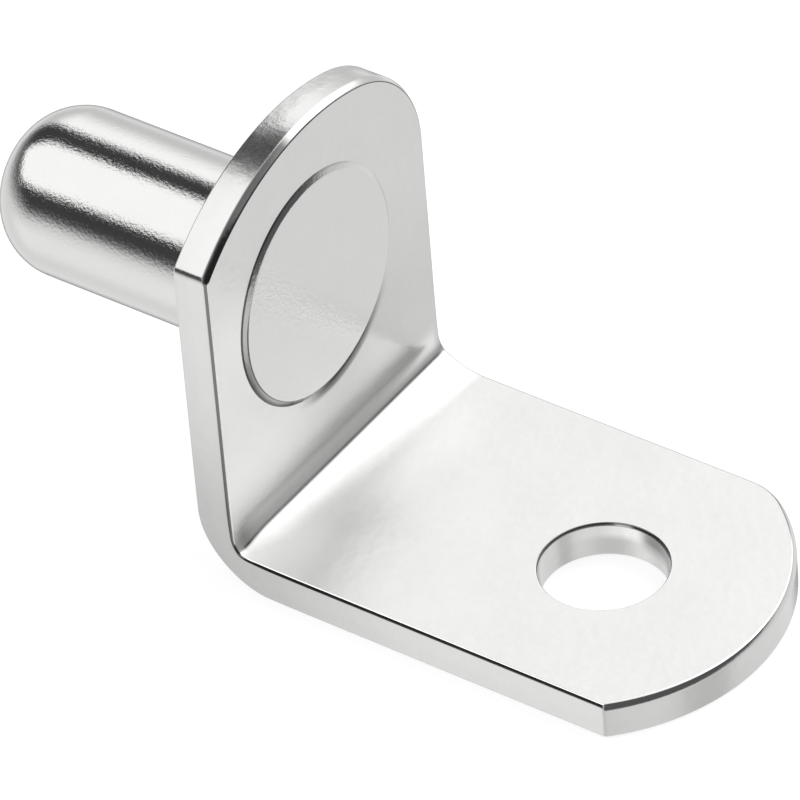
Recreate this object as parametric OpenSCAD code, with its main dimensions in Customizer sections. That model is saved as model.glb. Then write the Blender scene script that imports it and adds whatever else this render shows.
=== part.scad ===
// L-shaped shelf support with a round peg: a bent, arch-ended steel strip with
// a screw hole, and a solid bull-nosed peg riveted through its upright leg.
// Origin: on the peg's axis, in the plane of the leg's back face.
// +Y runs along the peg into the cabinet side, +Z is up, X is across the strip.

/* [Strip] */
// Width of the strip
strip_w = 12.7; // [12:0.1:14]
// Thickness of the strip
strip_t = 1.45; // [1:0.05:2]
// Inside radius of the bend
bend_r = 1.45; // [0.8:0.05:3]
// Roundness of the edges on the die-roll side: the leg's front, the flange's top
edge_front = 0.18; // [0.1:0.01:0.3]
// Roundness of the edges on the other side: the leg's back, the flange's underside
edge_back = 0.1; // [0.05:0.01:0.2]

/* [Leg] */
// Height of the peg's axis above the flange's top
axis_h = 8.05; // [7:0.05:12]
// Height of the arch's crown above the peg's axis
crown_h = 6.95; // [6:0.05:9]
// Radius of the leg's arch
leg_arc_r = 9.4; // [8.5:0.05:12]
// Radius of the blended corner beside the arch, on the +X side
leg_corner_r = 4.65; // [4:0.05:5.2]

/* [Flange] */
// Distance from the leg's front face to the flange's far end
flange_l = 18.2; // [16:0.1:24]
// Radius of the flange's rounded end
flange_arc_r = 7.95; // [7.6:0.05:8.6]
// Radius of the blended corner beside the end arc, on the +X side
flange_corner_r = 2.6; // [2:0.05:3.2]
// Diameter of the screw hole
hole_d = 4.6; // [3:0.1:5.5]
// Distance from the leg's front face to the screw hole's centre
hole_y = 11.5; // [9:0.1:12.5]
// Sideways offset of the screw hole from the strip's centre line
hole_x = -0.2; // [-0.5:0.05:0.5]

/* [Peg] */
// Diameter of the peg
peg_d = 6.3; // [5.6:0.05:7]
// Length of the peg behind the leg
peg_l = 11.25; // [8:0.05:14]
// Radius of the rounding of the peg's bull nose
nose_r = 2.5; // [1.5:0.1:2.9]
// Diameter of the shank that passes through the leg
shank_d = 4.8; // [3.5:0.1:4.9]
// Diameter of the flat riveted head on the leg's front face
head_d = 8.95; // [7.6:0.05:9.4]
// Height of the riveted head
head_h = 0.15; // [0.1:0.01:0.6]
// Width of the slope round the head
head_slope = 0.23; // [0.1:0.01:1]
// Sideways offset of the peg from the strip's centre line
peg_x = -0.4; // [-0.5:0.05:0.5]

/* [Hidden] */
$fn = 96;
half_w = strip_w / 2;
flange_top = -axis_h;
// the strip is placed so that the peg's axis is at X = 0
strip_x = -peg_x;
// where the flat parts of the strip end and the bend begins
leg_l = crown_h + axis_h - bend_r;
foot_l = flange_l - bend_r;
// direction in which each end arc runs into its blended corner, seen from the
// arc's centre: unit vectors of the 7-24-25 and the 4-3-5 triangle
leg_blend = [0.28, 0.96];
flange_blend = [0.8, 0.6];
over = 1;

// Rounded corner of a section, cut away: the corner is at the origin, its
// material lies towards -X and -Y
module corner_cut(r) {
    difference() {
        translate([-r, -r]) square([r + over, r + over]);
        translate([-r, -r]) circle(r, $fn = 16);
    }
}

// Cross-section of the strip. Y = 0 is the back face, Y = strip_t the front.
module strip_section() {
    difference() {
        translate([-half_w, 0]) square([strip_w, strip_t]);
        translate([half_w, strip_t]) corner_cut(edge_front);
        translate([-half_w, strip_t]) mirror([1, 0]) corner_cut(edge_front);
        translate([half_w, 0]) mirror([0, 1]) corner_cut(edge_back);
        translate([-half_w, 0]) mirror([0, 1]) mirror([1, 0]) corner_cut(edge_back);
    }
}

// Disc of the strip's thickness whose rim is rounded like the strip's edges.
// Z = 0 is the back face, Z = strip_t the front.
module rimmed_disc(r) {
    rotate_extrude()
        difference() {
            square([r, strip_t]);
            translate([r, strip_t]) corner_cut(edge_front);
            translate([r, 0]) mirror([0, 1]) corner_cut(edge_back);
        }
}

// Flat end of the strip: X across, Y along the strip from the bend line to the
// crown of the end arc at Y = len, Z from the back face to the front face.
// The corner on the +X side is blended, the one on the -X side is left sharp.
// u points from both centres to where the arc and the blend touch.
module flat_end(len, arc_r, corner_r, u) {
    // centre of the blend, which also touches the strip's side
    cx = half_w - corner_r;
    cy = len - arc_r + u[1] * (arc_r - corner_r);
    // centre of the arc
    arc_x = cx - u[0] * (arc_r - corner_r);
    arc_y = len - arc_r;
    reach = corner_r + over;
    // the blend's share of the outline, from one tangent point to the other
    module corner_sector(z0, z1)
        translate([0, 0, z0]) linear_extrude(z1 - z0)
            polygon([[cx, cy],
                     [half_w + over, cy],
                     [half_w + over, len + over],
                     [cx + reach * u[0], len + over],
                     [cx + reach * u[0], cy + reach * u[1]]]);
    union() {
        difference() {
            rotate([-90, 0, 0]) mirror([0, 1, 0])
                linear_extrude(len + over) strip_section();
            // the end arc
            difference() {
                translate([-half_w - over, arc_y, -over])
                    cube([strip_w + 2 * over, arc_r + 2 * over, strip_t + 2 * over]);
                translate([arc_x, arc_y, 0]) rimmed_disc(arc_r);
            }
            corner_sector(-over, strip_t + over);
        }
        // the blended corner
        intersection() {
            translate([cx, cy, 0]) rimmed_disc(corner_r);
            corner_sector(-over, strip_t + over);
        }
    }
}

// Through hole with its two rims rounded like the strip's edges
module rounded_hole(r) {
    translate([0, 0, -over]) cylinder(r = r, h = strip_t + 2 * over);
    rotate_extrude()
        difference() {
            translate([0, strip_t - edge_front]) square([r + edge_front, edge_front + over]);
            translate([r + edge_front, strip_t - edge_front]) circle(edge_front, $fn = 16);
        }
    rotate_extrude()
        difference() {
            translate([0, -over]) square([r + edge_back, edge_back + over]);
            translate([r + edge_back, edge_back]) circle(edge_back, $fn = 16);
        }
}

module bracket() {
    color([0.80, 0.80, 0.79])
    difference() {
        translate([strip_x, 0, 0])
        union() {
            // upright leg
            translate([0, 0, flange_top + bend_r]) rotate([90, 0, 0])
                flat_end(leg_l, leg_arc_r, leg_corner_r, leg_blend);
            // bend
            translate([0, -strip_t - bend_r, flange_top + bend_r])
                rotate([90, 0, 90]) rotate([0, 0, -90]) rotate_extrude(angle = 90)
                    translate([bend_r + strip_t, 0]) rotate(90) strip_section();
            // flange
            translate([0, -strip_t - bend_r, flange_top - strip_t]) mirror([0, 1, 0])
                difference() {
                    flat_end(foot_l, flange_arc_r, flange_corner_r, flange_blend);
                    translate([hole_x, hole_y - bend_r, 0]) rounded_hole(hole_d / 2);
                }
        }
        // hole that the peg's shank fills
        rotate([90, 0, 0]) translate([0, 0, -over])
            cylinder(d = shank_d, h = strip_t + 2 * over);
    }
}

module peg() {
    color([0.84, 0.84, 0.83])
    rotate([-90, 0, 0])
    rotate_extrude()
        union() {
            // peg with its bull nose
            intersection() {
                union() {
                    square([peg_d / 2, peg_l - nose_r]);
                    square([peg_d / 2 - nose_r, peg_l]);
                    translate([peg_d / 2 - nose_r, peg_l - nose_r]) circle(nose_r);
                }
                square([peg_d, peg_l]);
            }
            // shank through the leg
            translate([0, -strip_t - head_h / 2]) square([shank_d / 2, strip_t + head_h / 2 + 1]);
            // riveted head
            translate([0, -strip_t - head_h])
                polygon([[0, 0],
                         [head_d / 2 - head_slope, 0],
                         [head_d / 2, head_h],
                         [0, head_h]]);
        }
}

bracket();
peg();
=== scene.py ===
import math

import bpy
import numpy as np
from mathutils import Matrix, Vector
from mathutils.geometry import delaunay_2d_cdt


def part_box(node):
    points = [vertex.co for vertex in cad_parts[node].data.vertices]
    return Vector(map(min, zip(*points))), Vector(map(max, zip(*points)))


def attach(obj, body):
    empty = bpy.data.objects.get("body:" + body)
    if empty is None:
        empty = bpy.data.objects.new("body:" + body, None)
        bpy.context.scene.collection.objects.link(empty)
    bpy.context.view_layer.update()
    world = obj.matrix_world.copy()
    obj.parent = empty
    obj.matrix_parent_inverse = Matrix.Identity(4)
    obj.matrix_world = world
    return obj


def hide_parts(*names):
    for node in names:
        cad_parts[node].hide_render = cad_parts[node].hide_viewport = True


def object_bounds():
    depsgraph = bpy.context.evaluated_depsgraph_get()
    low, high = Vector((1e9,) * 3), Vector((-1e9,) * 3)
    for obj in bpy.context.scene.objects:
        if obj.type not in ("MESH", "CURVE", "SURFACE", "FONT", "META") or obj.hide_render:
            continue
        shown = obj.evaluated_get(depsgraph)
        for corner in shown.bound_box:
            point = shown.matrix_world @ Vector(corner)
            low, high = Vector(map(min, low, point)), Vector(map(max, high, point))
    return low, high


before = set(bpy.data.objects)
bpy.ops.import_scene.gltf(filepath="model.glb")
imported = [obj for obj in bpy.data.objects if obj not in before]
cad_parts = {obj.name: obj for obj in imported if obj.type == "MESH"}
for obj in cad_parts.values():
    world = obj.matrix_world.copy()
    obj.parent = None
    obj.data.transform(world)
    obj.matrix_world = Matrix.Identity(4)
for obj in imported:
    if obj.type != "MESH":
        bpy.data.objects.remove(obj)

cad_low, cad_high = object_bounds()
MM = 0.001
scene = bpy.context.scene

# ---------------------------------------------------------------- dimensions
# Millimetres, as in the construction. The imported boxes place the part.
strip_lo, strip_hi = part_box("bracket")
peg_lo, peg_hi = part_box("peg")
HALF_W = (strip_hi.x - strip_lo.x) / MM / 2
STRIP_X = (strip_hi.x + strip_lo.x) / MM / 2
T = 1.45
BEND_R = 1.45
FLANGE_TOP = strip_lo.z / MM + T
CROWN = strip_hi.z / MM
FAR_END = -strip_lo.y / MM
PEG_R = 3.15
PEG_END = peg_hi.y / MM
HEAD_R, HEAD_TOP_R, HEAD_OVAL = 4.42, 4.18, 0.035
HEAD_H = -peg_lo.y / MM - T
LEG_L = CROWN - FLANGE_TOP - BEND_R
FOOT_L = FAR_END - T - BEND_R
# the strip laid flat: s runs from the leg (negative) over the bend to the flange
BEND_S = (BEND_R + T / 2) * math.pi / 2
# The inside of the bend is pressed in three arcs: one from the leg, a tight crease and one into the flange. Their
# radii, and the angles at which the crease begins and ends, are given at the -X edge and at the +X edge.
LEG_SIDE_R, CREASE_R, FLANGE_SIDE_R = (1.0, 1.0), 0.25, (1.0, 2.9)
CREASE_A, CREASE_B = math.radians(38), (math.radians(68), math.radians(56))
ZONE = 0.8
# front edge: a small round, then a steep flank that fades into the wall, as a blanking die leaves it; back edge: radius
NIP_R, FLANK_DEEP, FADE_DEEP = 0.09, 0.15, 0.10
EDGE_B = 0.10
LEG_CORNER, END_CORNER = 0.5, 0.25


# ------------------------------------------------------------- strip outline
def arc(cx, cs, r, a0, a1, n):
    """Points of an arc, with their outward normals; angles in radians."""
    out = []
    for i in range(n + 1):
        a = a0 + (a1 - a0) * i / n
        out.append((cx + r * math.cos(a), cs + r * math.sin(a), math.cos(a), math.sin(a)))
    return out


def side(x, s0, s1, nx):
    """Points of a straight side, closer together over the bend."""
    stops = sorted({s0, s1} | {v for v in BEND_STOPS if min(s0, s1) < v < max(s0, s1)})
    out = []
    for a, b in zip(stops, stops[1:]):
        n = max(1, round((b - a) / (0.055 if -ZONE <= a < BEND_S + ZONE else 0.45)))
        out += [a + (b - a) * i / n for i in range(n)]
    out.append(stops[-1])
    if s1 < s0:
        out.reverse()
    return [(x, s, nx, 0.0) for s in out]


BEND_STOPS = [-ZONE, BEND_S + ZONE]


def sharp_end(sign, s_line, end_r, end_x, r):
    """Where the side at -HALF_W meets an end arc, with a small blend of radius r.
    sign is +1 at the flange's end and -1 at the leg's. Returns the blend's centre and its two tangent directions."""
    bx = -HALF_W + r
    dx = bx - end_x
    ds = math.sqrt((end_r - r) ** 2 - dx * dx)
    bs = s_line + sign * ds
    return bx, bs, math.atan2(sign * ds, dx)


LEG_ARC_R, LEG_COR_R, LEG_U = 9.4, 4.65, (0.28, 0.96)
END_ARC_R, END_COR_R, END_U = 7.95, 2.6, (0.8, 0.6)
leg_cs = -(LEG_L - LEG_ARC_R)
leg_bx = HALF_W - LEG_COR_R
leg_cx = leg_bx - LEG_U[0] * (LEG_ARC_R - LEG_COR_R)
leg_bs = leg_cs - LEG_U[1] * (LEG_ARC_R - LEG_COR_R)
end_cs = BEND_S + FOOT_L - END_ARC_R
end_bx = HALF_W - END_COR_R
end_cx = end_bx - END_U[0] * (END_ARC_R - END_COR_R)
end_bs = end_cs + END_U[1] * (END_ARC_R - END_COR_R)

outline = []
# right side, from the leg's blend down to the flange's blend
outline += side(HALF_W, leg_bs, end_bs, 1.0)
# flange: blend, end arc, small corner
a_t = math.atan2(END_U[1], END_U[0])
outline += arc(end_bx, end_bs, END_COR_R, 0, a_t, 18)[1:]
qx, qs, a_q = sharp_end(1, end_cs, END_ARC_R, end_cx, END_CORNER)
outline += arc(end_cx, end_cs, END_ARC_R, a_t, a_q, 96)[1:]
outline += arc(qx, qs, END_CORNER, a_q, math.pi, 7)[1:]
# left side, back up to the leg
px, ps, a_p = sharp_end(-1, leg_cs, LEG_ARC_R, leg_cx, LEG_CORNER)
outline += side(-HALF_W, qs, ps, -1.0)[1:]
outline += arc(px, ps, LEG_CORNER, math.pi, a_p + 2 * math.pi, 10)[1:]
a_u = math.atan2(-LEG_U[1], LEG_U[0])
outline += arc(leg_cx, leg_cs, LEG_ARC_R, a_p, a_u, 96)[1:]
outline += arc(leg_bx, leg_bs, LEG_COR_R, a_u, 0, 40)[1:-1]
outline = np.array(outline)

HOLE_R, HOLE_X, HOLE_S = 2.3, -0.2, BEND_S + 11.5 - BEND_R
SHANK_R = 2.4
SHANK_X, SHANK_S = -STRIP_X, BEND_R + FLANGE_TOP


def hole_loop(cx, cs, r, n):
    """A hole's outline, run the other way round, with normals that point into the hole."""
    a = np.linspace(0, -2 * math.pi, n, endpoint=False)
    return np.stack([cx + r * np.cos(a), cs + r * np.sin(a), -np.cos(a), -np.sin(a)], 1)


screw_loop = hole_loop(HOLE_X, HOLE_S, HOLE_R, 144)
shank_loop = hole_loop(SHANK_X, SHANK_S, SHANK_R, 96)


# -------------------------------------------------------- from flat to bent
def round_path(arcs, face, t):
    """One side of the strip round the bend, seen along X: t runs from 0 on the leg to 1 on the flange. The side lies
    at y = -face on the leg, and arcs gives (radius, start angle, end angle) in turn."""
    down = sum(r * (np.sin(a1) - np.sin(a0)) for r, a0, a1 in arcs)
    out = sum(r * (np.cos(a0) - np.cos(a1)) for r, a0, a1 in arcs)
    whole = BEND_R + T - face + ZONE
    lead, tail = whole - down, whole - out
    d = t * (lead + tail + sum(r * (a1 - a0) for r, a0, a1 in arcs))
    y = np.full_like(t, -face)
    z = FLANGE_TOP + BEND_R + ZONE - np.minimum(d, lead)
    d = d - lead
    for r, a0, a1 in arcs:
        a = a0 + np.clip(d, 0, r * (a1 - a0)) / r
        y = y - r * (np.cos(a0) - np.cos(a))
        z = z - r * (np.sin(a) - np.sin(a0))
        d = d - r * (a1 - a0)
    return y - np.maximum(d, 0), z


def inside_arcs(x):
    """The three arcs of the bend's inside at x: (radius, start angle, end angle) each."""
    u = np.clip((x + HALF_W) / (2 * HALF_W), 0, 1)
    leg_r = LEG_SIDE_R[0] + (LEG_SIDE_R[1] - LEG_SIDE_R[0]) * u
    flange_r = FLANGE_SIDE_R[0] + (FLANGE_SIDE_R[1] - FLANGE_SIDE_R[0]) * ease(u / 0.14)
    a2 = CREASE_B[0] + (CREASE_B[1] - CREASE_B[0]) * u
    return [(leg_r, 0.0, CREASE_A), (np.full_like(x, CREASE_R), CREASE_A, a2), (flange_r, a2, math.pi / 2)]


def from_crease(x, s):
    """Distance from the middle of the crease along the bend's inside, negative on the leg's side."""
    leg, crease, flange = inside_arcs(x)
    down = sum(r * (np.sin(a1) - np.sin(a0)) for r, a0, a1 in (leg, crease, flange))
    out = sum(r * (np.cos(a0) - np.cos(a1)) for r, a0, a1 in (leg, crease, flange))
    lead, tail = BEND_R + ZONE - down, BEND_R + ZONE - out
    before = lead + leg[0] * leg[2] + crease[0] * (crease[2] - crease[1]) / 2
    whole = lead + tail + sum(r * (a1 - a0) for r, a0, a1 in (leg, crease, flange))
    t = (s + ZONE) / (BEND_S + 2 * ZONE)
    return np.where(t < 0, t * whole * 1.3, np.where(t > 1, whole + (t - 1) * whole * 1.3, t * whole)) - before


def bend(p):
    """Flat strip (x, s, n) to the part's frame, in millimetres. n = 0 is the back, n = T the front."""
    x, s, n = p[..., 0], p[..., 1], p[..., 2]
    t = np.clip((s + ZONE) / (BEND_S + 2 * ZONE), 0, 1)
    yo, zo = round_path([(np.full_like(x, BEND_R + T), 0.0, math.pi / 2)], 0.0, t)
    yi, zi = round_path(inside_arcs(x), T, t)
    w = n / T
    y = yo + (yi - yo) * w - np.maximum(s - BEND_S - ZONE, 0)
    z = zo + (zi - zo) * w + np.maximum(-s - ZONE, 0)
    return np.stack([x + STRIP_X, y, z], -1)


def swell(p):
    """What bending does to the strip: over the bend the inside edges are pushed out and the outside edges drawn in."""
    x, s, n = p[..., 0], p[..., 1], p[..., 2]
    u = (s - BEND_S / 2) / (BEND_S * 0.62)
    w = np.exp(-(u * u) * 2.2)
    edge = np.clip(np.abs(x) / HALF_W, 0, 1.2) ** 7
    x = x - np.sign(x) * 0.075 * w * edge * (1 - n / T)
    n = n + 0.045 * w * edge * (n / T) - dish(x - SHANK_X, s - SHANK_S) * (n / T)
    return np.stack([x, s, n], -1)


def ease(v):
    v = np.clip(v, 0, 1)
    return v * v * (3 - 2 * v)


def dish(dx, ds):
    """The shallow dish that riveting left beside the head, at its lower right."""
    r = np.hypot(dx, ds / (1 + HEAD_OVAL))
    a = np.degrees(np.arctan2(ds, dx))
    return 0.07 * ease((4.84 - r) / 0.36) * ease((r - 3.9) / 0.3) * ease((a - 25) / 35) * ease((112 - a) / 30)


def place(p):
    return bend(swell(p))


def placed(points, normals):
    """Places points of the flat strip and turns their normals with them."""
    h = 1e-4
    q = place(points)
    cols = [(place(points + h * e) - place(points - h * e)) / (2 * h) for e in np.eye(3)]
    jac = np.stack(cols, -1)
    out = np.einsum("nij,nj->ni", np.linalg.inv(jac).transpose(0, 2, 1), normals)
    return q, out / np.linalg.norm(out, axis=1, keepdims=True)


# --------------------------------------------------------------- mesh making
def edge_profile():
    """(inward distance, n, outward part, n part, painted shade line) down the rounded edge, from the front face to the
    back.
    """
    # leans: how far the surface leans from the wall, against the depth below the front face
    leans = []
    for i in range(9):
        lean = math.radians(90 + (35 - 90) * i / 8)
        leans.append((NIP_R * (1 - math.sin(lean)), lean))
    nip = leans[-1][0]
    for i in range(1, 4):
        leans.append((nip + FLANK_DEEP * i / 3, math.radians(35 - 13 * i / 3)))
    for i in range(1, 6):
        leans.append((nip + FLANK_DEEP + FADE_DEEP * i / 5, math.radians(22 * (1 - i / 5))))
    inward = [0.0]
    for (d0, l0), (d1, l1) in zip(leans[::-1], leans[::-1][1:]):
        mid = (l0 + l1) / 2
        inward.append(inward[-1] + (d0 - d1) * math.tan(mid))
    inward.reverse()
    # weights of the painted shade line down the edge's rounding
    line = [0.0, 1.0, 1.0, 1.0, 0.5] + [0.0] * (len(leans) - 5)
    out = [(w, T - d, math.cos(lean), math.sin(lean), v) for w, (d, lean), v in zip(inward, leans, line)]
    deep = leans[-1][0]
    out[-1] = (0.0, T - deep, 1.0, 0.0, 0.0)
    for i in range(1, 4):
        out.append((0, T - deep - (T - deep - EDGE_B) * i / 4, 1.0, 0.0, 0.0))
    for i in range(6):
        a = math.pi / 2 * i / 5
        out.append((EDGE_B * (1 - math.cos(a)), EDGE_B * (1 - math.sin(a)), math.cos(a), -math.sin(a) if i else 0.0, 0.0))
    return out


PROFILE = edge_profile()
FRONT_DEEP = NIP_R * (1 - math.sin(math.radians(35))) + FLANK_DEEP + FADE_DEEP


class Build:
    def __init__(self):
        self.p, self.n, self.f, self.wall, self.depth, self.nip = [], [], [], [], [], []

    def add(self, p, n, wall=None, nip=None):
        start = len(self.p)
        self.p += list(p)
        self.n += list(n)
        self.depth += [1 - q[2] / T for q in p]
        self.wall += list(wall if wall is not None else [0.0] * len(p))
        self.nip += list(nip if nip is not None else [0.0] * len(p))
        return np.arange(start, start + len(p))

    def strip(self, a, b, closed=True):
        m = len(a)
        for i in range(m if closed else m - 1):
            j = (i + 1) % m
            self.f.append((a[i], b[i], b[j], a[j]))


def skirt(build, loop, scale):
    """The rounded edge and wall of one outline. Returns its ring at the front and its ring at the back. scale, for each
    point, is how large the front edge's rounding is."""
    rings = []
    for d, n, outward, up, nip in PROFILE:
        drop = np.where(up >= 0, (T - n) * scale, T - n)
        if up == 0:
            k = (T - n - FRONT_DEEP) / (T - FRONT_DEEP - EDGE_B)
            drop = FRONT_DEEP * scale + (T - FRONT_DEEP * scale - EDGE_B) * k
        inward = d * scale if up > 0 else np.full(len(loop), d)
        pts = np.column_stack([loop[:, 0] - inward * loop[:, 2], loop[:, 1] - inward * loop[:, 3], T - drop])
        nrm = np.column_stack([outward * loop[:, 2], outward * loop[:, 3], np.full(len(loop), up)])
        leg = ease((0.4 - loop[:, 1]) / 0.8)
        # painted shade: on the crown's left shoulder the whole flank is dark; a finer painted shade line runs round the
        # flange's far sides
        shoulder = ease((-loop[:, 2] - 0.1) / 0.1) * ease((-loop[:, 3] - 0.1) / 0.2) * ease((0.27 - T + n) / 0.07) * (0 < up < 0.9)
        far_side = ease((0.61 * loop[:, 2] - 0.48 * loop[:, 3] + 0.05) / 0.15) * (len(loop) > 200)
        # painted shade lines along the front edge's rounding, mostly on the leg
        lines = np.maximum(nip * leg * (1.25 + 0.5 * ease(-loop[:, 3] * 2)), nip * 1.5 * far_side * (1 - leg))
        lines = np.maximum(lines, 1.4 * ease((0.1 - loop[:, 2]) / 0.15) * ease((-loop[:, 3] - 0.1) / 0.2) * leg * (0.6 < up < 1))
        # painted highlight on the left side's rounding, and painted shade on its flank
        left = ease((-loop[:, 2] - 0.9) / 0.08)
        lines = np.maximum(lines * (1 - left), 1.3 * left * (0.34 < up < 0.6))
        bright = 0.9 * left * (0.6 <= up < 1)
        if len(loop) == len(screw_loop):
            # painted shade: the hole's rim is dark on the side where its wall is seen from above the flange's free
            # corner; its wall also gets a painted dark patch and a painted highlight band
            lines = 1.5 * ease((0.48 * loop[:, 3] - 0.61 * loop[:, 2]) / 0.4) * ease((0.14 - T + n) / 0.05) * (0 < up < 1)
            patch = ease((-loop[:, 2] - 0.6) / 0.2) * ease((0.1 - loop[:, 3]) / 0.25) * ease((1.0 - T + n) / 0.4) * (up < 1)
            lines = np.maximum(lines, 1.3 * patch)
            bright = np.exp(-(((loop[:, 3] - 0.35) / 0.33) ** 2)) * (loop[:, 2] < 0) * (0.2 < T - n < 0.6)
        rings.append(build.add(pts, nrm, np.full(len(loop), outward ** 2), np.maximum(lines, 1.75 * shoulder * leg) - bright))
    for a, b in zip(rings, rings[1:]):
        build.strip(a, b)
    return rings[0], rings[-1]


def cap(build, rings, n, up):
    """Fills the face between an outer ring and its holes. Over the bend it is laid in straight rows, elsewhere in
    triangles on a loose grid."""
    pts = np.array(build.p)
    outer = rings[0]
    # rows of quads over the bend: the outer ring has the same s on its two sides there
    on_bend = [i for i in outer if -ZONE - 1e-9 <= pts[i, 1] <= BEND_S + ZONE + 1e-9]
    right = sorted([i for i in on_bend if pts[i, 0] > 0], key=lambda i: pts[i, 1])
    left = sorted([i for i in on_bend if pts[i, 0] < 0], key=lambda i: pts[i, 1])
    cols = np.linspace(0, 1, 41)[1:-1]
    cols = 0.5 - 0.5 * np.cos(cols * math.pi)
    rows = []
    for l, r in zip(left, right):
        xs = pts[l, 0] + (pts[r, 0] - pts[l, 0]) * cols
        mid = build.add([(x, pts[l, 1], n) for x in xs], [(0, 0, up)] * len(xs))
        rows.append([l, *mid, r])
    for a, b in zip(rows, rows[1:]):
        for i in range(len(a) - 1):
            q = (a[i], a[i + 1], b[i + 1], b[i])
            build.f.append(q if up > 0 else q[::-1])
    # the two flat ends
    for lo_s, hi_s, row in ((-1e9, -ZONE, rows[0]), (BEND_S + ZONE, 1e9, rows[-1])):
        order = [i for i in outer if lo_s - 1e-9 <= pts[i, 1] <= hi_s + 1e-9]
        k = next(j for j in range(len(order)) if np.linalg.norm(pts[order[j], :2] - pts[order[j - 1], :2]) > 5)
        order = order[k:] + order[:k]
        inner = row[1:-1]
        if np.linalg.norm(pts[order[-1], :2] - np.array(build.p[inner[0]])[:2]) > np.linalg.norm(
            pts[order[-1], :2] - np.array(build.p[inner[-1]])[:2]
        ):
            inner = inner[::-1]
        loops = [list(order) + list(inner)]
        for ring in rings[1:]:
            if lo_s < pts[ring[0], 1] < hi_s:
                loops.append(list(ring))
        ids = [i for lp in loops for i in lp]
        flat = [Vector(np.array(build.p[i])[:2]) for i in ids]
        edges, at = [], 0
        for lp in loops:
            edges += [(at + i, at + (i + 1) % len(lp)) for i in range(len(lp))]
            at += len(lp)
        # a loose grid of free points keeps the triangles compact
        poly = np.array([flat[i] for i in range(len(loops[0]))])
        x0, s0 = poly.min(0)
        x1, s1 = poly.max(0)
        free = []
        for i, s in enumerate(np.arange(s0 + 0.4, s1 - 0.2, 0.55)):
            for x in np.arange(x0 + 0.4 + (i % 2) * 0.3, x1 - 0.2, 0.62):
                if inside(poly, x, s) and np.min(np.hypot(poly[:, 0] - x, poly[:, 1] - s)) > 0.3:
                    clear = True
                    for lp in loops[1:]:
                        h = np.array([np.array(build.p[j])[:2] for j in lp])
                        c = h.mean(0)
                        if math.hypot(x - c[0], s - c[1]) < np.linalg.norm(h[0] - c) + 0.3:
                            clear = False
                    if clear:
                        free.append((x, s))
        if up > 0 and lo_s < SHANK_S < hi_s:
            ds, dx = (SHANK_S, SHANK_X)
            free = [q for q in free if not 3.7 < math.hypot(q[0] - dx, q[1] - ds) < 5.0]
            for k, r in enumerate((3.85, 4.0, 4.1, 4.2, 4.3, 4.40, 4.46, 4.52, 4.58, 4.64, 4.70, 4.76, 4.82, 4.89)):
                for a in np.radians(np.arange(16, 122, 1.6) + 0.8 * (k % 2)):
                    free.append((dx + r * math.cos(a), ds + r * (1 + HEAD_OVAL) * math.sin(a)))
        new = build.add([(x, s, n) for x, s in free], [(0, 0, up)] * len(free))
        flat += [Vector(v) for v in free]
        ids += list(new)
        _, _, faces, orig, _, _ = delaunay_2d_cdt(flat, edges, [], 0, 1e-7)
        holes = [np.array([np.array(build.p[j])[:2] for j in lp]) for lp in loops[1:]]
        for f in faces:
            v = [orig[i][0] for i in f]
            c = np.mean([flat[i] for i in v], axis=0)
            if not inside(poly, *c) or any(inside(h, *c) for h in holes):
                continue
            a, b, d = (flat[i] for i in v)
            ccw = (b - a).cross(d - a) > 0
            tri = tuple(ids[i] for i in v)
            build.f.append(tri if ccw == (up > 0) else tri[::-1])


def inside(poly, x, y):
    xs, ys = poly[:, 0], poly[:, 1]
    xn, yn = np.roll(xs, -1), np.roll(ys, -1)
    hit = (ys > y) != (yn > y)
    with np.errstate(divide="ignore", invalid="ignore"):
        cut = xs + (y - ys) * (xn - xs) / (yn - ys)
    return bool(np.count_nonzero(hit & (x < cut)) % 2)


def make_mesh(name, points, normals, faces, floats=None):
    """A smooth mesh with exact corner normals, points in millimetres. Points that coincide become one vertex, which
    keeps the normal of each face's own corner, so an edge is sharp where its two faces say so."""
    seen, first, turn = {}, [], []
    for i, q in enumerate(points):
        key = tuple(round(float(c), 5) for c in q)
        if key not in seen:
            seen[key] = len(first)
            first.append(i)
        turn.append(seen[key])
    made, corner = [], []
    for f in faces:
        ids = [int(i) for i in f]
        ids = [i for k, i in enumerate(ids) if turn[i] != turn[ids[k - 1]]]
        if len({turn[i] for i in ids}) < 3:
            continue
        made.append([turn[i] for i in ids])
        corner += [tuple(float(c) for c in normals[i]) for i in ids]
    me = bpy.data.meshes.new(name)
    me.from_pydata([tuple(float(c) * MM for c in points[i]) for i in first], [], made)
    me.polygons.foreach_set("use_smooth", [True] * len(me.polygons))
    me.normals_split_custom_set(corner)
    for key, values in (floats or {}).items():
        at = me.attributes.new(key, "FLOAT", "POINT")
        at.data.foreach_set("value", [float(values[i]) for i in first])
    ob = bpy.data.objects.new(name, me)
    scene.collection.objects.link(ob)
    return ob


b = Build()
# the rounding is larger on the two end arcs than on the straight sides, and small round the hole
o_top, o_bot = skirt(b, outline, 0.62 + 0.38 * np.minimum(1.0, np.abs(outline[:, 3]) / 0.6))
h_top, h_bot = skirt(b, screw_loop, np.full(len(screw_loop), 0.5))
# the hole that the peg's shank fills has plain edges, hidden under the head and the shoulder
n_s = len(shank_loop)
at_top, at_bot = (np.column_stack([shank_loop[:, :2], np.full(n_s, v)]) for v in (T, 0.0))
inward = np.column_stack([shank_loop[:, 2:], np.zeros(n_s)])
b.strip(b.add(at_top, inward), b.add(at_bot, inward))
sh_top = b.add(at_top, [(0, 0, 1)] * n_s)
sh_bot = b.add(at_bot, [(0, 0, -1)] * n_s)
cap(b, [o_top, h_top, sh_top], T, 1.0)
cap(b, [o_bot, h_bot, sh_bot], 0.0, -1.0)
pos, nor = placed(np.array(b.p, float), np.array(b.n, float))
flat = np.array(b.p, float)
near_bend = ease((flat[:, 1] + 0.2) / 1.4) * (1 - ease(np.array(b.wall) * 2))
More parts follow.
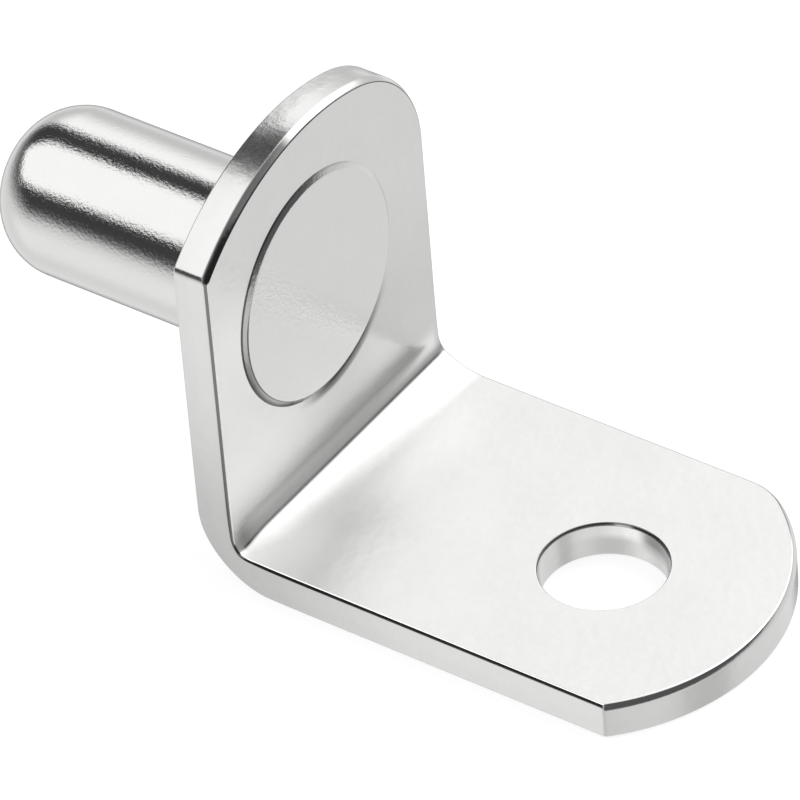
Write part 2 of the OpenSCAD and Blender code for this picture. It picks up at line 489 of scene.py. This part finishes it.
# painted shade: a dark line in the crease, and a painted lighter band on the leg just above it
gap = from_crease(flat[:, 0], flat[:, 1])
crease = 1.4 * np.exp(-(((gap + 0.05) / 0.07) ** 2)) - 0.62 * np.exp(-(((gap + 0.6) / 0.42) ** 2))
# painted shade: the photo's dark patch in the crease's near end
crease = crease + 0.9 * np.exp(-(((flat[:, 0] + 5.85) / 0.45) ** 2)) * np.exp(-(((gap + 0.45) / 0.45) ** 2))
crease = crease * (flat[:, 2] > T - 1e-6) * ease((HALF_W - 0.1 - np.abs(flat[:, 0])) / 0.4)
# painted shade on the lower part of the leg, a painted lighter strip on the flange beside the bend, and painted shade
# in the dish
painted_leg_shade_flange_light = ease((flat[:, 1] + 8.0) / 6.2) * ease((1.6 - flat[:, 1]) / 1.6) * (0.3 + 0.7 * np.exp(-(((flat[:, 0] - 0.3) / 2.6) ** 2)))
painted_leg_shade_flange_light = painted_leg_shade_flange_light - 0.55 * np.exp(-(((flat[:, 1] - 4.3) / 1.2) ** 2)) * (1 - 0.65 * ease(flat[:, 0] / 6)) * ease((flat[:, 0] + 6.6) / 3)
# painted shade in the dish beside the head
painted_dish_shade = dish(flat[:, 0] - SHANK_X, flat[:, 1] - SHANK_S) / 0.07 * (flat[:, 2] > T - 1e-6)
# bending turns the flat strip over, so its faces are turned round
bracket = make_mesh("bracket_strip", pos, nor, [f[::-1] for f in b.f], {"wall": b.wall, "depth": b.depth, "nip": b.nip, "bend": near_bend, "fold": np.exp(-(((flat[:, 1] - BEND_S / 2) / 3.4) ** 2)), "crease": crease, "low": painted_leg_shade_flange_light, "dish": painted_dish_shade})


# ----------------------------------------------------------------------- peg
def revolve(profile, n):
    """A closed solid turned about Y. profile: (r, y, radial normal, axial normal), from the head's front to the nose's
    tip, its first and last points on the axis."""
    p, nn, f = [], [], []
    rings = []
    for r, y, nr, ny in profile:
        if r < 1e-9:
            rings.append([len(p)])
            p.append((0, y, 0))
            nn.append((0, ny, 0))
        else:
            rings.append(list(range(len(p), len(p) + n)))
            for k in range(n):
                a = 2 * math.pi * k / n
                p.append((r * math.cos(a), y, r * math.sin(a)))
                nn.append((nr * math.cos(a), ny, nr * math.sin(a)))
    for a, c in zip(rings, rings[1:]):
        for k in range(n):
            j = (k + 1) % n
            if len(a) == 1:
                f.append((a[0], c[k], c[j]))
            elif len(c) == 1:
                f.append((a[k], c[0], a[j]))
            else:
                f.append((a[k], c[k], c[j], a[j]))
    return p, nn, f


front = -T - HEAD_H
prof = []
# head: flat front and a sloping rim, with a small round between the two
SLOPE = math.atan2(HEAD_H, HEAD_R - HEAD_TOP_R)
TURN = 0.16
knee = TURN * math.tan(SLOPE / 2)
for r in np.linspace(0, HEAD_TOP_R - knee, 14):
    prof.append((float(r), front, 0.0, -1.0))
for i in range(1, 9):
    a = SLOPE * i / 8
    prof.append((HEAD_TOP_R - knee + TURN * math.sin(a), front + TURN * (1 - math.cos(a)), math.sin(a), -math.cos(a)))
for k in (0.5, 0.66, 0.72, 0.78, 0.89, 1.0):
    prof.append((HEAD_TOP_R + (HEAD_R - HEAD_TOP_R) * k, front + HEAD_H * k, math.sin(SLOPE), -math.cos(SLOPE)))
HEAD_ROWS = len(prof)
prof.append((HEAD_R, -T, 0.0, 1.0))
prof.append((3.9, -T, 0.0, 1.0))
prof.append((SHANK_R, -T, 0.0, 1.0))
prof.append((SHANK_R, -T, 1.0, 0.0))
prof.append((SHANK_R, 0.0, 1.0, 0.0))
prof.append((SHANK_R, 0.0, 0.0, -1.0))
prof.append((PEG_R, 0.0, 0.0, -1.0))
prof.append((PEG_R, 0.0, 1.0, 0.0))
NOSE_R = 2.5
for y in np.linspace(0, PEG_END - NOSE_R, 26)[1:]:
    prof.append((PEG_R, float(y), 1.0, 0.0))
for i in range(1, 33):
    a = math.pi / 2 * i / 32
    prof.append((PEG_R - NOSE_R + NOSE_R * math.cos(a), PEG_END - NOSE_R + NOSE_R * math.sin(a), math.cos(a), math.sin(a)))
for r in (0.5, 0.3, 0.15):
    prof.append((r, PEG_END, 0.0, 1.0))
prof.append((0.0, PEG_END, 0.0, 1.0))
pp, pn, pf = revolve(prof, 192)
pp, pn = np.array(pp, float), np.array(pn, float)
# the head is a little taller than it is wide, and its foot follows the dish beside it
rad = np.hypot(pp[:, 0], pp[:, 2])
at_foot = (rad > HEAD_R - 1e-6) & (np.abs(pp[:, 1] + T) < 1e-6)
pp[:, 1] += at_foot * dish(pp[:, 0], -pp[:, 2] * (1 + HEAD_OVAL))
oval = 1 + HEAD_OVAL * ease((rad - SHANK_R) / 1.2) * (pp[:, 1] < -T + 0.1)
pp[:, 2] *= oval
pn[:, 2] /= oval
pn /= np.linalg.norm(pn, axis=1, keepdims=True)
# painted shade lines: at the foot of the head's rim, and at the top of the rim on its left
turned = np.degrees(np.arctan2(pp[:, 2], pp[:, 0])) % 360
row = np.concatenate([[0]] + [np.full(192, i) for i in range(1, len(prof) - 1)] + [[len(prof) - 1]])
foot_line = ease((row - (HEAD_ROWS - 5)) / 2) * (row <= HEAD_ROWS) * (0.35 + 0.65 * ease((turned - 85) / 40) * ease((300 - turned) / 25))
foot_line = np.maximum(foot_line, 0.85 * ease((row - (HEAD_ROWS - 8)) / 3) * (row <= HEAD_ROWS) * ease((turned - 184) / 22) * ease((264 - turned) / 22))
foot_line = foot_line * (1 - 0.75 * ease((turned - 300) / 20) - 0.75 * ease((70 - turned) / 20))
rim_line = np.isin(row, range(16, 21)) * ease((turned - 158) / 14) * ease((262 - turned) / 30)
peg = make_mesh("riveted_peg", pp, pn, pf, {"nip": np.maximum(foot_line, 0.8 * rim_line)})

# ------------------------------------------------------------------ materials
class Maths:
    """Sums on shader sockets, written as plain calls."""

    def __init__(self, tree):
        self.tree = tree

    def __call__(self, op, *args, clamp=False):
        n = self.tree.nodes.new("ShaderNodeMath")
        n.operation = op
        n.use_clamp = clamp
        for i, a in enumerate(args):
            if isinstance(a, (int, float)):
                n.inputs[i].default_value = a
            else:
                self.tree.links.new(a, n.inputs[i])
        return n.outputs[0]

    def step(self, value, low, high):
        """0 below low, 1 above high and smooth between; low may be the larger."""
        n = self.tree.nodes.new("ShaderNodeMapRange")
        n.interpolation_type = "SMOOTHERSTEP"
        self.tree.links.new(value, n.inputs["Value"])
        if low < high:
            n.inputs["From Min"].default_value, n.inputs["From Max"].default_value = low, high
        else:
            n.inputs["From Min"].default_value, n.inputs["From Max"].default_value = high, low
            n.inputs["To Min"].default_value, n.inputs["To Max"].default_value = 1.0, 0.0
        return n.outputs["Result"]

    def mix(self, a, b, mask):
        """a where mask is 0, b where it is 1."""
        return self("ADD", self("MULTIPLY", a, self("SUBTRACT", 1.0, mask)), self("MULTIPLY", b, mask))

    def times(self, *args):
        out = args[0]
        for a in args[1:]:
            out = self("MULTIPLY", out, a)
        return out


def noise(tree, vector, scale, detail=2.0, rough=0.5, out="Fac"):
    n = tree.nodes.new("ShaderNodeTexNoise")
    n.inputs["Scale"].default_value = scale
    n.inputs["Detail"].default_value = detail
    n.inputs["Roughness"].default_value = rough
    tree.links.new(vector, n.inputs["Vector"])
    return n.outputs[out]


def stretched(tree, vector, scale):
    n = tree.nodes.new("ShaderNodeMapping")
    n.vector_type = "POINT"
    n.inputs["Scale"].default_value = scale
    tree.links.new(vector, n.inputs["Vector"])
    return n.outputs[0]


def bump(tree, height, distance, normal=None):
    n = tree.nodes.new("ShaderNodeBump")
    n.inputs["Strength"].default_value = 1.0
    n.inputs["Distance"].default_value = distance
    tree.links.new(height, n.inputs["Height"])
    if normal is not None:
        tree.links.new(normal, n.inputs["Normal"])
    return n.outputs[0]


def attribute(tree, name):
    n = tree.nodes.new("ShaderNodeAttribute")
    n.attribute_name = name
    return n.outputs["Fac"]


def grey(tree, value, tint=(1.0, 1.0, 0.99)):
    n = tree.nodes.new("ShaderNodeCombineColor")
    for i in range(3):
        m = tree.nodes.new("ShaderNodeMath")
        m.operation = "MULTIPLY"
        m.inputs[1].default_value = tint[i]
        tree.links.new(value, m.inputs[0])
        tree.links.new(m.outputs[0], n.inputs[i])
    return n.outputs[0]


def metal(name):
    mat = bpy.data.materials.new(name)
    mat.use_nodes = True
    tree = mat.node_tree
    shader = tree.nodes["Principled BSDF"]
    shader.inputs["Metallic"].default_value = 1.0
    at = tree.nodes.new("ShaderNodeTexCoord").outputs["Object"]
    return mat, tree, shader, Maths(tree), at


def strip_nickel():
    """Bright nickel over rolled and blanked steel: a softly mottled sheet face, and a cut edge that is smooth near the
    front and torn and dull towards the back."""
    mat, tree, shader, M, at = metal("strip_nickel")
    wall = attribute(tree, "wall")
    depth = attribute(tree, "depth")
    near = attribute(tree, "bend")
    split = tree.nodes.new("ShaderNodeSeparateXYZ")
    tree.links.new(at, split.inputs[0])
    peel = noise(tree, at, 2600.0, 2.0, 0.5)
    grain = noise(tree, at, 11000.0, 2.0, 0.6)
    cloud = noise(tree, at, 420.0, 3.0, 0.5)
    # long faint rolling lines, drawn out along the strip
    rolled = noise(tree, stretched(tree, at, (9000.0, 260.0, 260.0)), 1.0, 2.0, 0.5)
    # the torn part of a cut edge: below half way, with a ragged start, and most of it round the leg's crown
    ragged = M("ADD", depth, M("MULTIPLY", M("SUBTRACT", noise(tree, at, 1500.0, 3.0, 0.6), 0.5), 0.5))
    where = M("ADD", 0.12, M("MULTIPLY", M.step(M("ADD", split.outputs[2], M("MULTIPLY", split.outputs[0], 0.5)), 0.0058, 0.0072), 0.88))
    torn = M.times(M.step(ragged, 0.35, 0.8), M.step(wall, 0.6, 0.95), where)
    tear = noise(tree, at, 4200.0, 4.0, 0.65)
    even = M.times(M.step(near, 0.05, 0.0), 1.0)
    rough = M("ADD", 0.19, M.times(M("SUBTRACT", cloud, 0.5), 0.07, even))
    rough = M("ADD", rough, M.times(M("SUBTRACT", grain, 0.5), 0.12, even))
    # the skin is duller, and evenly so, over the bend and on the flange
    rough = M("ADD", rough, M("MULTIPLY", near, 0.10))
    rough = M("ADD", rough, M("MULTIPLY", M.times(near, M("POWER", attribute(tree, "fold"), 3.0)), 0.09))
    rough = M("ADD", rough, M("MULTIPLY", torn, 0.12))
    worn = M.times(M.step(wall, 0.04, 0.3), M.step(wall, 0.96, 0.7))
    rough = M("SUBTRACT", rough, M("MULTIPLY", worn, 0.05), clamp=True)
    tree.links.new(rough, shader.inputs["Roughness"])
    tone = M("ADD", 0.62, M("MULTIPLY", M("SUBTRACT", cloud, 0.5), 0.05))
    tone = M("ADD", tone, M("MULTIPLY", M("SUBTRACT", peel, 0.5), 0.03))
    tone = M("ADD", tone, M("MULTIPLY", M("SUBTRACT", grain, 0.5), 0.03))
    tone = M("SUBTRACT", tone, M("MULTIPLY", torn, M("MULTIPLY", tear, 0.18)))
    # painted shade: the cut edge's walls are darker near the bend
    tone = M("SUBTRACT", tone, M("MULTIPLY", M.times(M("POWER", attribute(tree, "fold"), 0.4), M.step(wall, 0.6, 0.95)), 0.18))
    tone = M("ADD", tone, M("MULTIPLY", worn, 0.02))
    # painted shade, a little darker low on the leg's face and in the dish, with a painted lighter strip on the flange
    # beside the bend; painted shade line along the leg's edge
    face = M.step(wall, 0.5, 0.2)
    tone = M("SUBTRACT", tone, M("MULTIPLY", M.times(attribute(tree, "low"), face), 0.15))
    # painted shade in the crease, with a painted lighter band on the leg above it
    tone = M("SUBTRACT", tone, M("MULTIPLY", attribute(tree, "crease"), 0.36))
    # painted shade: the leg's faces are darker left of a slanting line, and more so high up
    left = M.times(M.step(M("ADD", split.outputs[0], M("MULTIPLY", split.outputs[2], 0.965)), 0.0003, -0.002), M.step(near, 0.3, 0.0), face)
    tone = M("SUBTRACT", tone, M.times(left, M("ADD", 0.035, M("MULTIPLY", M.step(split.outputs[2], 0.0, 0.0035), 0.05))))
    tone = M("SUBTRACT", tone, M("MULTIPLY", attribute(tree, "dish"), 0.42))
    # painted shade lines along the edges and round the hole, and painted highlights where nip is below zero
    tone = M("SUBTRACT", tone, M("MULTIPLY", attribute(tree, "nip"), 0.30), clamp=True)
    tree.links.new(grey(tree, tone), shader.inputs["Base Color"])
    n = bump(tree, cloud, 12e-6)
    n = bump(tree, peel, 6e-6, n)
    n = bump(tree, rolled, 0.8e-6, n)
    n = bump(tree, grain, 1.3e-6, n)
    n = bump(tree, M("MULTIPLY", tear, torn), 22e-6, n)
    tree.links.new(n, shader.inputs["Normal"])
    return mat


def peg_nickel():
    """Bright nickel over a turned and headed pin: glossier, with fine rings round its body and a slightly uneven skin."""
    mat, tree, shader, M, at = metal("peg_nickel")
    cloud = noise(tree, at, 700.0, 3.0, 0.5)
    skin = noise(tree, at, 8500.0, 3.0, 0.65)
    rings = noise(tree, stretched(tree, at, (300.0, 14000.0, 300.0)), 1.0, 2.0, 0.5)
    rough = M("ADD", 0.09, M("MULTIPLY", M("SUBTRACT", cloud, 0.5), 0.03))
    rough = M("ADD", rough, M("MULTIPLY", M("SUBTRACT", skin, 0.5), 0.05), clamp=True)
    tree.links.new(rough, shader.inputs["Roughness"])
    tone = M("ADD", 0.62, M("MULTIPLY", M("SUBTRACT", cloud, 0.5), 0.03))
    tone = M("ADD", tone, M("MULTIPLY", M("SUBTRACT", skin, 0.5), 0.04))
    # painted shade: the head's face is darker towards its foot, as the leg is round it; painted shade lines round the
    # head
    split = tree.nodes.new("ShaderNodeSeparateXYZ")
    tree.links.new(at, split.inputs[0])
    head = M.step(split.outputs[1], -0.0014, -0.0015)
    lower = M.step(M("ADD", split.outputs[0], M("MULTIPLY", split.outputs[2], 0.965)), 0.0006, -0.0028)
    tone = M("SUBTRACT", tone, M("MULTIPLY", M.times(head, lower), 0.135))
    tone = M("SUBTRACT", tone, M("MULTIPLY", attribute(tree, "nip"), 0.40), clamp=True)
    tree.links.new(grey(tree, tone), shader.inputs["Base Color"])
    n = bump(tree, cloud, 4e-6)
    n = bump(tree, rings, 0.5e-6, n)
    n = bump(tree, skin, 9e-6, n)
    tree.links.new(n, shader.inputs["Normal"])
    return mat


for ob, node, slot, make in (
    (bracket, "bracket", "bracket_nickel_plate", strip_nickel),
    (peg, "peg", "peg_nickel_plate", peg_nickel),
):
    ob.data.materials.append(make())
    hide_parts(node)
    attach(ob, "root")

# --------------------------------------------------------------------- camera
AZ, EL, ROLL, DIST = math.radians(-51.711), math.radians(39.111), math.radians(-4.926), 337.241
TARGET = Vector((-1.364 + STRIP_X, -5.506, -2.851))
back = Vector((math.sin(AZ) * math.cos(EL), -math.cos(AZ) * math.cos(EL), math.sin(EL)))
right0 = Vector((math.cos(AZ), math.sin(AZ), 0))
up0 = back.cross(right0)
right = math.cos(ROLL) * right0 + math.sin(ROLL) * up0
up = -math.sin(ROLL) * right0 + math.cos(ROLL) * up0
cam_data = bpy.data.cameras.new("camera")
cam_data.sensor_width = 36
cam_data.lens = 36 * 9700 / 800
cam_data.clip_start, cam_data.clip_end = 0.01, 10
cam = bpy.data.objects.new("camera", cam_data)
scene.collection.objects.link(cam)
m = Matrix((right, up, back)).transposed().to_4x4()
m.translation = (TARGET + back * DIST) * MM
cam.matrix_world = m
scene.camera = cam

# ---------------------------------------------------------------------- stage
# Studio: a bright room with one large soft box behind the part on its left, framed in black, and the dark side of the
# room, where the camera is, in front. Directions are x right, y towards the cabinet, z up.
world = bpy.data.worlds.new("studio")
scene.world = world
world.use_nodes = True
wt = world.node_tree
wt.nodes.clear()
M = Maths(wt)
coord = wt.nodes.new("ShaderNodeTexCoord")
split = wt.nodes.new("ShaderNodeSeparateXYZ")
wt.links.new(coord.outputs["Generated"], split.inputs[0])
X, Y, Z = split.outputs

# the room: a white table below, dimmer low down, brighter above, brightest high in front on the right
room = M.mix(1.0, 0.80, M.step(Z, -0.25, 0.02))
room = M.mix(room, 1.22, M.step(Z, 0.1, 0.5))
room = M.mix(room, 1.46, M.times(M.step(Z, 0.35, 0.6), M.step(X, 0.2, 0.5)))
room = M.mix(room, 2.35, M.times(M.step(Z, 0.36, 0.5), M.step(Y, 0.5, 0.1), M.step(X, 0.1, 0.4)))
# the table is brighter behind on the left, and the part's own front side shades it a little
room = M.mix(room, 1.2, M.times(M.step(Z, -0.2, -0.5), M.step(X, -0.2, -0.6), M.step(Y, 0.1, 0.45)))
room = M.mix(room, 0.86, M.times(M.step(Z, -0.1, -0.5), M.step(X, -0.3, -0.7), M.step(Y, 0.2, -0.1)))
low = M.times(M.step(Z, -0.15, -0.35), M.step(Y, -0.45, -0.62))
room = M.mix(room, 0.76, M.times(low, M.step(X, -0.12, 0.15), M.step(X, 0.48, 0.3)))
# the dark side of the room in front: its top rises to the left and so does its foot fall
top = M("SUBTRACT", M("SUBTRACT", 0.64, M("MULTIPLY", X, 0.38)), M("MULTIPLY", M("MINIMUM", X, 0.0), 0.25))
foot = M("ADD", M("MULTIPLY", X, 0.25), -0.09)
front = M.times(
    M.step(Y, -0.12, -0.38),
    M.step(M("SUBTRACT", Z, foot), -0.12, 0.1),
    M.step(M("SUBTRACT", Z, top), 0.05, -0.09),
    M.step(X, 0.86, 0.70),
)
room = M.mix(room, 0.12, front)
# plane coordinates of a wall behind the part
safe = M("MAXIMUM", Y, 0.05)
U = M("DIVIDE", X, safe)
V = M("DIVIDE", Z, safe)
behind = M.step(Y, 0.12, 0.3)
# the black frame: below the box and on its right
low_line = M("MULTIPLY", M("MAXIMUM", M("SUBTRACT", -0.45, U), 0.0), 0.1)
frame_low = M.times(M.step(M("ADD", V, low_line), -0.42, 0.34), M.step(M("SUBTRACT", U, M("MULTIPLY", V, 0.26)), 0.64, 0.42))
room = M.mix(room, 0.065, M.times(frame_low, behind))
# the soft box itself
left_cut = M("SUBTRACT", V, M("MULTIPLY", M("MAXIMUM", M("SUBTRACT", -0.45, U), 0.0), 0.56))
box = M.times(M.step(left_cut, 0.22, 0.29), M.step(U, 0.16, 0.08))
room = M.mix(room, 1.48, M.times(box, behind))
# a darker far end of the table, straight on from the camera: it draws a thin line round every outline
far = M("ADD", M("ADD", M("MULTIPLY", X, 0.609), M("MULTIPLY", Y, 0.481)), M("MULTIPLY", Z, -0.631))
room = M.mix(room, 0.42, M.step(far, 0.88, 0.985))

studio = wt.nodes.new("ShaderNodeBackground")
wt.links.new(room, studio.inputs["Color"])
plain = wt.nodes.new("ShaderNodeBackground")
plain.inputs["Color"].default_value = (1.0, 1.0, 1.0, 1)
path = wt.nodes.new("ShaderNodeLightPath")
either = wt.nodes.new("ShaderNodeMixShader")
wt.links.new(path.outputs["Is Camera Ray"], either.inputs[0])
wt.links.new(studio.outputs[0], either.inputs[1])
wt.links.new(plain.outputs[0], either.inputs[2])
out = wt.nodes.new("ShaderNodeOutputWorld")
wt.links.new(either.outputs[0], out.inputs[0])

# a hair below the part, so that the two surfaces do not coincide
floor_z = cad_low.z - 0.00002
me = bpy.data.meshes.new("floor")
me.from_pydata([(-3, -3, floor_z), (3, -3, floor_z), (3, 3, floor_z), (-3, 3, floor_z)], [], [(0, 1, 2, 3)])
floor = bpy.data.objects.new("floor", me)
scene.collection.objects.link(floor)
# reflections show the studio's own white table instead
floor.visible_glossy = False
fm = bpy.data.materials.new("floor")
fm.use_nodes = True
fb = fm.node_tree.nodes["Principled BSDF"]
fb.inputs["Base Color"].default_value = (0.3, 0.3, 0.3, 1)
fb.inputs["Roughness"].default_value = 0.9
fb.inputs["Specular IOR Level"].default_value = 0.0
fb.inputs["Emission Color"].default_value = (1, 1, 1, 1)
fb.inputs["Emission Strength"].default_value = 0.78
floor.data.materials.append(fm)

scene.view_settings.view_transform = "Standard"
